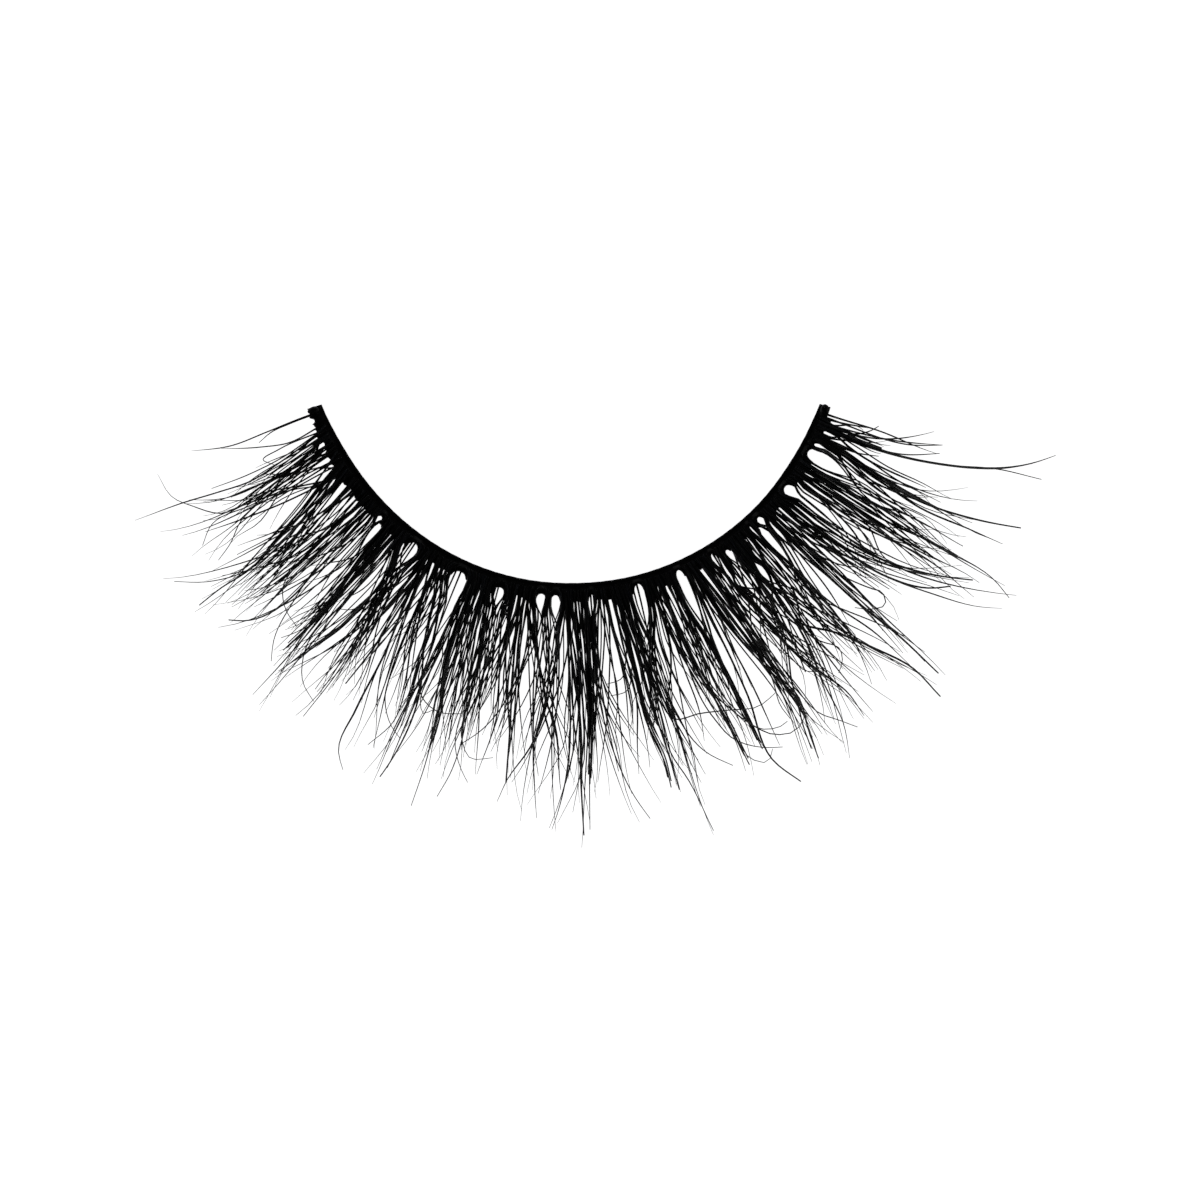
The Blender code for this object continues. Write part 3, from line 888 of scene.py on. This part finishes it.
# %% Chart of the single hairs
# thickness in mm, place of its root, then the places and reaches that the hair passes
SINGLES = (
    (0.10, -70.5, (-70.3, 22.5), (-70.1, 38), (-71.3, 53)),
    (0.08, -70.5, (-70.3, 15), (-70, 22), (-69, 28)),
    (0.09, -67.8, (-67, 17), (-68.2, 28), (-70.2, 42)),
    (0.08, -66.8, (-65, 22.5), (-64.8, 36), (-65.2, 51)),
    (0.08, -66.6, (-66.6, 22), (-66, 29), (-64.5, 26)),
    (0.11, -66.5, (-64.5, 22.5), (-63.7, 36), (-64.3, 49), (-65, 62), (-65.5, 82)),
    (0.09, -65.3, (-63.4, 15), (-62, 22.5), (-60.6, 36), (-61.4, 51)),
    (0.09, -64.5, (-61.2, 38), (-61.4, 52), (-64, 60), (-66.5, 66), (-69.8, 67.5)),
    (0.08, -63, (-60.3, 38), (-60.5, 58), (-58.8, 64)),
    (0.08, -60, (-60, 38), (-59, 47), (-57, 55), (-56, 62)),
    (0.16, -58.8, (-57.3, 13), (-55, 28), (-54.2, 36), (-53.3, 45)),
    (0.13, -58.2, (-56.6, 15), (-54.2, 36), (-52.5, 53), (-52.8, 68), (-52.7, 77.5)),
    (0.08, -58, (-54.6, 32), (-52.5, 53), (-54.5, 70), (-56.8, 80)),
    (0.09, -57, (-57.5, 16), (-58.8, 22.5), (-60.2, 34), (-61.2, 49)),
    (0.12, -56.6, (-57.3, 17), (-58, 30), (-58.8, 41.5), (-60.2, 60.5)),
    (0.09, -56.5, (-54.5, 32), (-56.2, 53)),
    (0.08, -56, (-54.3, 34), (-55.2, 55)),
    (0.10, -56, (-53, 22.5), (-52, 38), (-50.7, 64)),
    (0.10, -54, (-51.5, 22.5), (-50.2, 68)),
    (0.10, -49.6, (-50, 22.5), (-51.5, 30), (-52.7, 53)),
    (0.10, -49.7, (-48.5, 38), (-48.3, 47), (-49.2, 64)),
    (0.08, -49.5, (-48.6, 38), (-47.5, 49), (-45, 54), (-42, 56)),
    (0.08, -49, (-50, 38), (-52.5, 55), (-54, 64)),
    (0.10, -48.2, (-47.5, 41.5), (-47, 66)),
    (0.08, -47.5, (-47, 23), (-45, 49), (-43, 66), (-41.5, 72)),
    (0.13, -46.7, (-45.8, 38), (-45.5, 49), (-47.5, 68), (-49, 72.5)),
    (0.09, -44.4, (-44, 30), (-42.5, 45)),
    (0.09, -43, (-43.5, 30), (-45.5, 41.5)),
    (0.09, -42.6, (-43.2, 23.5), (-45.2, 30), (-47, 36)),
    (0.17, -42.7, (-41.2, 34), (-40.8, 43), (-41.3, 66)),
    (0.08, -41, (-40.8, 43), (-41.5, 57), (-42.6, 63)),
    (0.11, -40.8, (-40.3, 45), (-40.3, 68), (-40.5, 86)),
    (0.08, -38.5, (-39.2, 38), (-39.5, 57), (-38.5, 64), (-36.5, 71), (-34.2, 74)),
    (0.09, -38.3, (-38.2, 30), (-40, 39)),
    (0.15, -37.8, (-36.3, 22.5), (-36.4, 34), (-37, 45), (-38.5, 58.5), (-40, 73)),
    (0.10, -37.8, (-36.3, 22.5), (-34.8, 36), (-33.5, 56.5), (-33.2, 66)),
    (0.10, -37, (-36, 15), (-34.5, 22.5), (-32.5, 38), (-30.5, 53), (-30, 66)),
    (0.08, -36.6, (-36, 34), (-35, 49), (-34.9, 70)),
    (0.08, -36, (-36.3, 30), (-37.5, 38), (-39, 40.5)),
    (0.08, -35.4, (-35, 22.5), (-34.5, 38), (-33.8, 56.5), (-34.2, 81)),
    (0.11, -35, (-36, 24), (-37, 43), (-38.9, 60), (-40, 75)),
    (0.12, -33.6, (-35.3, 24.5), (-35.8, 36), (-36.5, 45)),
    (0.10, -32.5, (-33.4, 15), (-35, 26.5), (-35.6, 36)),
    (0.15, -31.8, (-30.8, 22.5), (-29.5, 43.5), (-29.1, 68), (-28.3, 86), (-27, 90.5)),
    (0.09, -31.6, (-32, 11.5), (-33, 34), (-33.7, 56.5)),
    (0.10, -31, (-30, 22.5), (-28.2, 41.5), (-26.5, 68)),
    (0.14, -30.6, (-31, 22.5), (-31.3, 45), (-32, 62)),
    (0.12, -29.6, (-29, 11.5), (-27, 34), (-25.2, 47), (-24, 63)),
    (0.08, -29, (-27.4, 45), (-26.3, 60), (-24, 68), (-22.3, 71)),
    (0.13, -27.9, (-25, 32), (-22.3, 52), (-22.4, 81), (-22.8, 87)),
    (0.09, -27.4, (-28, 22.5), (-29.3, 39.5)),
    (0.08, -25, (-24.5, 50), (-24, 66), (-25.7, 78)),
    (0.09, -24.8, (-25.5, 19), (-28.7, 36)),
    (0.08, -24, (-23.5, 30), (-23, 49), (-21.5, 54), (-19, 56.5), (-15.5, 54.5)),
    (0.10, -22.7, (-22.5, 11.5), (-22.3, 30), (-23, 49), (-23.5, 64), (-23.5, 85)),
    (0.08, -22, (-22, 45), (-21.6, 56), (-20.8, 59), (-19.5, 56)),
    (0.12, -21.5, (-21.5, 22.5), (-22.3, 53), (-22.4, 83)),
    (0.17, -20.6, (-20, 43.5), (-18.8, 56.5), (-18.5, 70.5)),
    (0.08, -19.5, (-18.7, 60), (-18.3, 76), (-18.3, 93)),
    (0.10, -18.7, (-16.5, 34), (-15.5, 53), (-14.6, 66)),
    (0.09, -18.4, (-18, 30), (-17.2, 53), (-16.5, 75.5)),
    (0.10, -18.3, (-17.8, 7.5), (-15.5, 30), (-14.5, 47)),
    (0.09, -16.5, (-15, 34), (-13, 56.5), (-12, 75.5)),
    (0.07, -16, (-15.8, 50), (-15.2, 68), (-13.8, 75), (-12.7, 79)),
    (0.08, -16.2, (-15.2, 47), (-14.7, 64), (-15, 77), (-15.8, 87)),
    (0.07, -15.5, (-15, 45), (-14.7, 64), (-13, 70), (-10.2, 68)),
    (0.09, -14, (-13, 34), (-11.7, 51)),
    (0.10, -12.3, (-11.5, 38), (-10.8, 49), (-11.8, 75.5)),
    (0.12, -11.8, (-12.2, 22.5), (-13.5, 32), (-14.8, 49)),
    (0.14, -10.8, (-9.5, 36), (-8.6, 56.5), (-8.1, 76.5)),
    (0.10, -10.4, (-11, 15), (-12, 30), (-13, 45)),
    (0.09, -9.7, (-10.5, 38), (-12.2, 60.5)),
    (0.09, -9.4, (-7.5, 26), (-6.4, 42), (-5.3, 60), (-4.7, 74)),
    (0.08, -9, (-10.5, 50), (-12.5, 59), (-14.8, 66)),
    (0.15, -8.2, (-6.5, 22.5), (-4.5, 38), (-3.8, 45), (-3, 49), (-1.3, 77.5)),
    (0.11, -6.9, (-7.8, 30), (-9.2, 41.5), (-10.2, 56.5)),
    (0.09, -5.2, (-6.4, 22), (-8, 34), (-9.4, 48), (-10.6, 62)),
    (0.11, -4.8, (-4, 47), (-5, 58.5), (-4.5, 77.5), (-4, 88.5)),
    (0.09, -2.6, (-3.4, 28), (-4, 44.5), (-5, 60)),
    (0.12, -1.8, (-2, 11.5), (-3, 34), (-4.5, 54.5), (-5.5, 62), (-8, 75.5), (-8.8, 84)),
    (0.12, -1, (-0.8, 11.5), (-0.3, 38), (-0.3, 64), (-1.5, 85), (-2.2, 92.5)),
    (0.14, -0.6, (-0.4, 11.5), (0.3, 34), (1, 45), (1.2, 75.5), (1.4, 94.5)),
    (0.11, 0.8, (0.8, 11.5), (2.3, 38), (2.6, 56)),
    (0.08, 2.2, (2.4, 60), (2.2, 80), (2.1, 92.5)),
    (0.17, 3.2, (2.9, 34), (2.7, 60), (2.3, 75.5)),
    (0.10, 3.6, (4, 22.5), (5.5, 41.5), (8.5, 58.5)),
    (0.08, 4, (4.5, 49), (6, 68), (7.5, 81), (9, 90.5)),
    (0.08, 4.6, (5, 49), (6, 71.5)),
    (0.13, 4.8, (4.5, 7.5), (3.5, 38), (2.5, 70)),
    (0.11, 5.8, (5.5, 7.5), (3.7, 45), (2.9, 60)),
    (0.10, 6.7, (6.5, 11.5), (5, 34), (3.8, 50)),
    (0.10, 7, (7.5, 15), (8.5, 30), (8.7, 53), (8.2, 56.5)),
    (0.11, 8.6, (9, 22.5), (9.8, 45), (8.8, 64), (8.5, 73.5)),
    (0.08, 9.5, (9.2, 30), (8, 37), (5.5, 38.5)),
    (0.17, 9.8, (10, 19), (10.5, 41.5), (10.8, 56.5), (12, 71.5), (12.1, 80.5)),
    (0.08, 10, (9.9, 34), (8.5, 42), (6, 43)),
    (0.12, 10.2, (10.5, 7.5), (12.3, 30), (13.5, 45)),
    (0.13, 11.3, (11.8, 45), (12.6, 66), (13, 82)),
    (0.10, 11.6, (12, 22.5), (13.8, 49), (15.5, 66), (16.5, 79)),
    (0.08, 12.2, (12.8, 53), (13, 68), (14.3, 79), (15.6, 100)),
    (0.08, 12.5, (13.2, 48), (14.5, 56), (18, 56.5), (22, 59), (26, 62.3), (29, 60.5)),
    (0.08, 14, (14.5, 49), (17.5, 71.5), (20, 79)),
    (0.13, 15.3, (14.3, 19), (13, 34), (12.5, 49), (11.5, 56.5)),
    (0.11, 16.3, (15.5, 13), (14.5, 26), (13.3, 43), (12.2, 56)),
    (0.10, 17.2, (17.5, 22.5), (19.3, 45), (21, 68)),
    (0.13, 17.4, (17.2, 15), (17, 28), (14.8, 45), (14, 49)),
    (0.10, 17.8, (18, 38), (18.2, 56.5), (17.6, 67)),
    (0.17, 18.6, (19, 15), (20, 41.5), (21.3, 60.5), (21.9, 81)),
    (0.08, 19, (20, 47), (22, 57), (24, 67), (26.5, 75), (28.5, 76.8),
     (30.3, 74.5), (31, 68)),
    (0.08, 19.5, (19.8, 60), (21.3, 70), (24.2, 77), (26.4, 80)),
    (0.17, 22, (22.3, 15), (23.5, 38), (24, 64), (24.1, 77.5)),
    (0.08, 22, (23, 60), (25.3, 71), (27.5, 72.8), (28.4, 72.3)),
    (0.07, 22, (21.6, 70), (22.6, 80), (24, 82.7), (25.2, 79)),
    (0.10, 22.4, (22, 30), (20.5, 49)),
    (0.10, 24.9, (24, 38), (23.9, 60)),
    (0.13, 25.2, (25.3, 56.5), (24.7, 83), (26.5, 94.5)),
    (0.11, 25.9, (26, 22.5), (26.5, 49), (26.2, 79)),
    (0.17, 26.5, (27, 22.5), (28.5, 41.5), (30, 56.5), (31, 68), (30, 81), (29.5, 90)),
    (0.13, 29.3, (29.5, 30), (30.3, 56), (30.6, 75)),
    (0.08, 29.8, (29.3, 57), (28.6, 66), (28.9, 72)),
    (0.15, 30.6, (31, 7.5), (33, 30), (33.5, 45), (35.3, 62), (36.7, 75.5), (36.6, 86)),
    (0.08, 31.5, (31.6, 66), (32.4, 76), (33.9, 82), (35.2, 88)),
    (0.13, 32.2, (33.2, 30), (34, 50), (35.4, 64)),
    (0.08, 33, (33.2, 52), (34, 60), (35.4, 63)),
    (0.11, 35.6, (35, 38), (33.5, 49), (31.3, 62), (31.3, 83)),
    (0.13, 36.4, (36.3, 9), (35.7, 34), (35, 45), (33.8, 60)),
    (0.08, 36.5, (36.8, 45), (38, 54), (39.4, 60.5), (38.6, 65), (37.3, 67.5)),
    (0.10, 37.2, (37, 38), (36, 56.5), (35.2, 64), (34, 85), (32.5, 96)),
    (0.14, 38, (37.8, 13), (36.7, 28), (37.2, 43.5), (40.3, 54.5), (43, 70),
     (44.5, 83), (44.5, 99)),
    (0.11, 39.6, (40, 11.5), (41, 34), (41.5, 56.5), (41, 75.5)),
    (0.12, 40.2, (39.5, 34), (37.3, 45), (36.7, 53)),
    (0.11, 41.2, (41.5, 15), (42.8, 45), (44.3, 64), (44.6, 83)),
    (0.08, 41.5, (42.3, 44), (43.7, 52), (45.3, 62), (46.7, 74)),
    (0.11, 44.8, (44.5, 7.5), (42.3, 34), (41, 51)),
    (0.14, 45.4, (45.5, 22.5), (45.5, 49), (46.2, 71.5), (46.2, 92.5)),
    (0.09, 45.5, (46.2, 23), (48, 38), (50.5, 47)),
    (0.10, 45.9, (45.5, 7.5), (43.7, 43.5), (42.6, 56)),
    (0.13, 46.5, (46.6, 30), (46.9, 53)),
    (0.08, 46.5, (47, 42), (48.3, 52), (49, 57), (48, 60.6), (46.3, 58), (44.8, 53)),
    (0.08, 48, (48, 11), (49.2, 42), (50, 58)),
    (0.10, 49, (49, 22.5), (49.7, 38)),
    (0.14, 50, (50.3, 22.5), (51, 53), (53.5, 70), (55.1, 75.5)),
    (0.09, 50.6, (51, 53), (53, 71.5), (55, 88.5), (56.3, 96)),
    (0.14, 51, (52, 42), (54.5, 64), (57.2, 81)),
    (0.10, 51.4, (51.7, 22.5), (52.5, 41.5), (53.5, 56.5)),
    (0.12, 55, (54.5, 22.5), (52.5, 39.5), (51, 45)),
    (0.10, 55, (55.2, 38), (56.3, 60), (55.6, 85)),
    (0.09, 56, (55.5, 38), (53.3, 47), (53, 60)),
    (0.14, 56.9, (57, 30), (57, 64)),
    (0.13, 57.9, (58, 7.5), (57.8, 43.5), (58.6, 60.5), (58.8, 71.5)),
    (0.08, 58.3, (58.4, 60), (58.5, 88.5), (57.7, 96)),
    (0.08, 58.8, (59, 34), (60, 45), (60.2, 71.5)),
    (0.13, 59.6, (59.5, 11.5), (58.5, 34), (58.1, 50)),
    (0.13, 63.4, (63.5, 19), (62.8, 49), (64, 71.5), (65.3, 87.5)),
    (0.12, 63.6, (63.5, 15), (62.7, 34), (62, 49), (62.5, 71.5), (62.7, 84)),
    (0.12, 64.5, (63.2, 12), (60.2, 23), (59.2, 34)),
    (0.09, 64.5, (62, 32), (60.3, 47), (59.3, 58)),
    (0.08, 65.3, (65.5, 20), (66.5, 28)),
    (0.10, 65.6, (65.5, 19), (64.2, 38), (64, 56.5)),
    (0.12, 67, (66.8, 7.5), (65.3, 22.5), (65, 49)),
    (0.15, 67.2, (67.3, 22), (67.8, 34), (69, 51), (70.1, 63), (71.4, 74),
     (72.9, 83), (74.5, 90.5)),
    (0.14, 67.5, (67.7, 11.5), (68, 28)),
    (0.08, 67.5, (68.3, 36), (70.4, 49)),
    (0.08, 67.8, (67.9, 34), (69.2, 53), (70.9, 71), (71.4, 88)),
    (0.08, 68, (68.9, 18), (70.3, 22), (71.4, 24)),
    (0.09, 68.3, (68.5, 7.5), (70, 32), (71.7, 49)),
    (0.08, 69.3, (69.5, 7.5), (70.7, 22.5)),
    (0.08, 69.6, (70.2, 38), (71.7, 49)),
)
print(len(SINGLES), "single hairs charted")

# %% [markdown]
# Thickness also tells what kind of hair it is. The thinnest wander, also across the windows. The
# middle ones make room for the windows and taper, apart from some stout ones that were cut blunt.
# The thickest are clumps, each laid as three strands that draw together.

# %% Lay the single hairs
SINGLE_SECTIONS = 30
SINGLE_ROOT_REACH = 3
SINGLE_GIRTH = 0.95
SINGLE_LAYERS = (0.5, 2.3)
WANDERER = 0.085
WANDERER_GIRTH = 1.1
WANDERER_TAPER = 0.4
BLUNT_FROM = 0.125
BLUNT_TO = 0.145
BLUNT_TAPER = 0.3
CLUMP = 0.155
# places beside the charted line, share of its length, share of its thickness
CLUMP_STRANDS = ((-0.32, 0.95, 0.72), (0.0, 1.0, 0.72), (0.32, 0.97, 0.72))
DRAWN_TOGETHER = 0.5
# metres for one place, half way out on the fringe, and for one unit of reach
CHART_STEP = (LID_RADIUS * 1.4 * RADIANS_PER_PLACE, LASH_REACH / CHART_REACH)


def through(knots, count):
    """A smooth line through the knots, as this many evenly spaced points."""
    knots = np.array(knots, float)
    gaps = np.hypot(*(np.diff(knots, axis=0) * CHART_STEP).T)
    at = np.concatenate(([0], np.cumsum(gaps)))
    slopes = np.gradient(knots, at, axis=0)
    steps = np.linspace(0, at[-1], count)
    span = np.clip(np.searchsorted(at, steps, side="right") - 1, 0, len(at) - 2)
    width = (at[span + 1] - at[span])[:, None]
    t = (steps - at[span])[:, None] / width
    ends = knots[span] * (1 + 2 * t) * (1 - t) ** 2 + knots[span + 1] * t**2 * (3 - 2 * t)
    pulls = slopes[span] * t * (1 - t) ** 2 - slopes[span + 1] * t**2 * (1 - t)
    return ends + pulls * width


def strands_of(thickness):
    """A charted hair's strands, each (beside, length, diameter), and the taper of their tips."""
    if thickness < WANDERER:
        return [(0.0, 1.0, thickness * WANDERER_GIRTH)], WANDERER_TAPER
    if thickness < CLUMP:
        blunt = BLUNT_FROM < thickness < BLUNT_TO
        return [(0.0, 1.0, thickness)], BLUNT_TAPER if blunt else TIP_TAPER
    strands = [(beside, length, thickness * share) for beside, length, share in CLUMP_STRANDS]
    return strands, BLUNT_TAPER


single_hairs = []
for thickness, root, *knots in SINGLES:
    places, reaches = through([(root, SINGLE_ROOT_REACH), *knots], SINGLE_SECTIONS).T
    lift = LOWEST_LIFT + LAYER_LIFT * draw.uniform(*SINGLE_LAYERS)
    if thickness >= WANDERER:
        places = part_round_windows(places, reaches)
    strands, tip_taper = strands_of(thickness)
    for beside, length, diameter in strands:
        own_places = places + beside * (1 - DRAWN_TOGETHER * np.linspace(0, 1, SINGLE_SECTIONS))
        own_reaches = ROOT_REACH + (reaches - ROOT_REACH) * length
        points = curled(own_places, own_reaches, lift, ROOT_TOP)
        radii = hair_radii(own_reaches, diameter * SINGLE_GIRTH * girth(places[0]) * MM, tip_taper)
        single_hairs.append((points, radii, draw.uniform(0.1, 0.7)))
hair_piece("lash_single_hairs", single_hairs)

# %% [markdown]
# ## The stage
#
# Small black things are photographed on a light table, whose soft glow from below keeps the gaps
# between the hairs white. So the floor is a wide pale dish with a rim, which glows a little. One
# large soft lamp and a quiet sky give the hairs their satin lights from above.

# %% Floor, lights and sky
FLOOR_DROP = 0.02 * MM
FLOOR_RADIUS = 3.0
RIM_HEIGHT = 1.2
RIM_FLARE = 1.2
TABLE_GLOW = 0.95

table_top, tree, shader = new_material(
    "white_light_table",
    {"Base Color": srgb("#F4F4F4"), "Roughness": 0.9, "Specular IOR Level": 0.0},
)
shader.inputs["Emission Color"].default_value = (1, 1, 1, 1)
shader.inputs["Emission Strength"].default_value = TABLE_GLOW
bm = bmesh.new()
bmesh.ops.create_circle(bm, segments=96, radius=FLOOR_RADIUS, cap_ends=True)
rim_edges = [edge for edge in bm.edges if edge.is_boundary]
grown = bmesh.ops.extrude_edge_only(bm, edges=rim_edges)["geom"]
for vert in grown:
    if isinstance(vert, bmesh.types.BMVert):
        vert.co.x *= RIM_FLARE
        vert.co.y *= RIM_FLARE
        vert.co.z += RIM_HEIGHT
bmesh.ops.translate(bm, verts=bm.verts, vec=(0, 0, -FLOOR_DROP))
floor_mesh = bpy.data.meshes.new("light_table")
bm.to_mesh(floor_mesh)
bm.free()
floor_mesh.materials.append(table_top)
floor = bpy.data.objects.new("light_table", floor_mesh)
bpy.context.scene.collection.objects.link(floor)

sky = bpy.data.worlds.new("quiet_sky")
sky.use_nodes = True
sky.node_tree.nodes["Background"].inputs["Color"].default_value = srgb("#F2F4F8")
sky.node_tree.nodes["Background"].inputs["Strength"].default_value = 0.04
bpy.context.scene.world = sky

lamp_data = bpy.data.lights.new("soft_lamp", "AREA")
lamp_data.shape = "DISK"
lamp_data.size = 0.16
lamp_data.energy = 0.08
lamp_data.color = srgb("#F4F7FF")[:3]
lamp = bpy.data.objects.new("soft_lamp", lamp_data)
lamp.location = (-0.12, -0.16, 0.32)
lamp.rotation_euler = (-lamp.location).to_track_quat("-Z", "Y").to_euler()
bpy.context.scene.collection.objects.link(lamp)

# %% [markdown]
# ## The camera
#
# The photograph looks straight down on the strip, from so far away that there is no perspective
# to speak of. A very long lens does the same. Its distance follows from how wide the photograph's
# field is in millimetres.

# %% Camera
PHOTO_WIDTH = 1200
LID_CENTRE_PX = (571.5, 323.9)
LID_RADIUS_PX = 260.0
LENS = 800.0
SENSOR = 36.0

pixel = LID_RADIUS / LID_RADIUS_PX
centre_x = (PHOTO_WIDTH / 2 - LID_CENTRE_PX[0]) * pixel
centre_y = LID_CENTRE_Y - (PHOTO_WIDTH / 2 - LID_CENTRE_PX[1]) * pixel
camera_data = bpy.data.cameras.new("camera")
camera_data.lens = LENS
camera_data.sensor_width = SENSOR
camera_data.clip_end = 20.0
camera = bpy.data.objects.new("camera", camera_data)
camera.location = (centre_x, centre_y, PHOTO_WIDTH * pixel * LENS / SENSOR)
bpy.context.scene.collection.objects.link(camera)
bpy.context.scene.camera = camera
bpy.context.scene.view_settings.view_transform = "Standard"
print(f"one photo pixel is {pixel / MM:.4f} mm, camera {camera.location.z:.2f} m away")
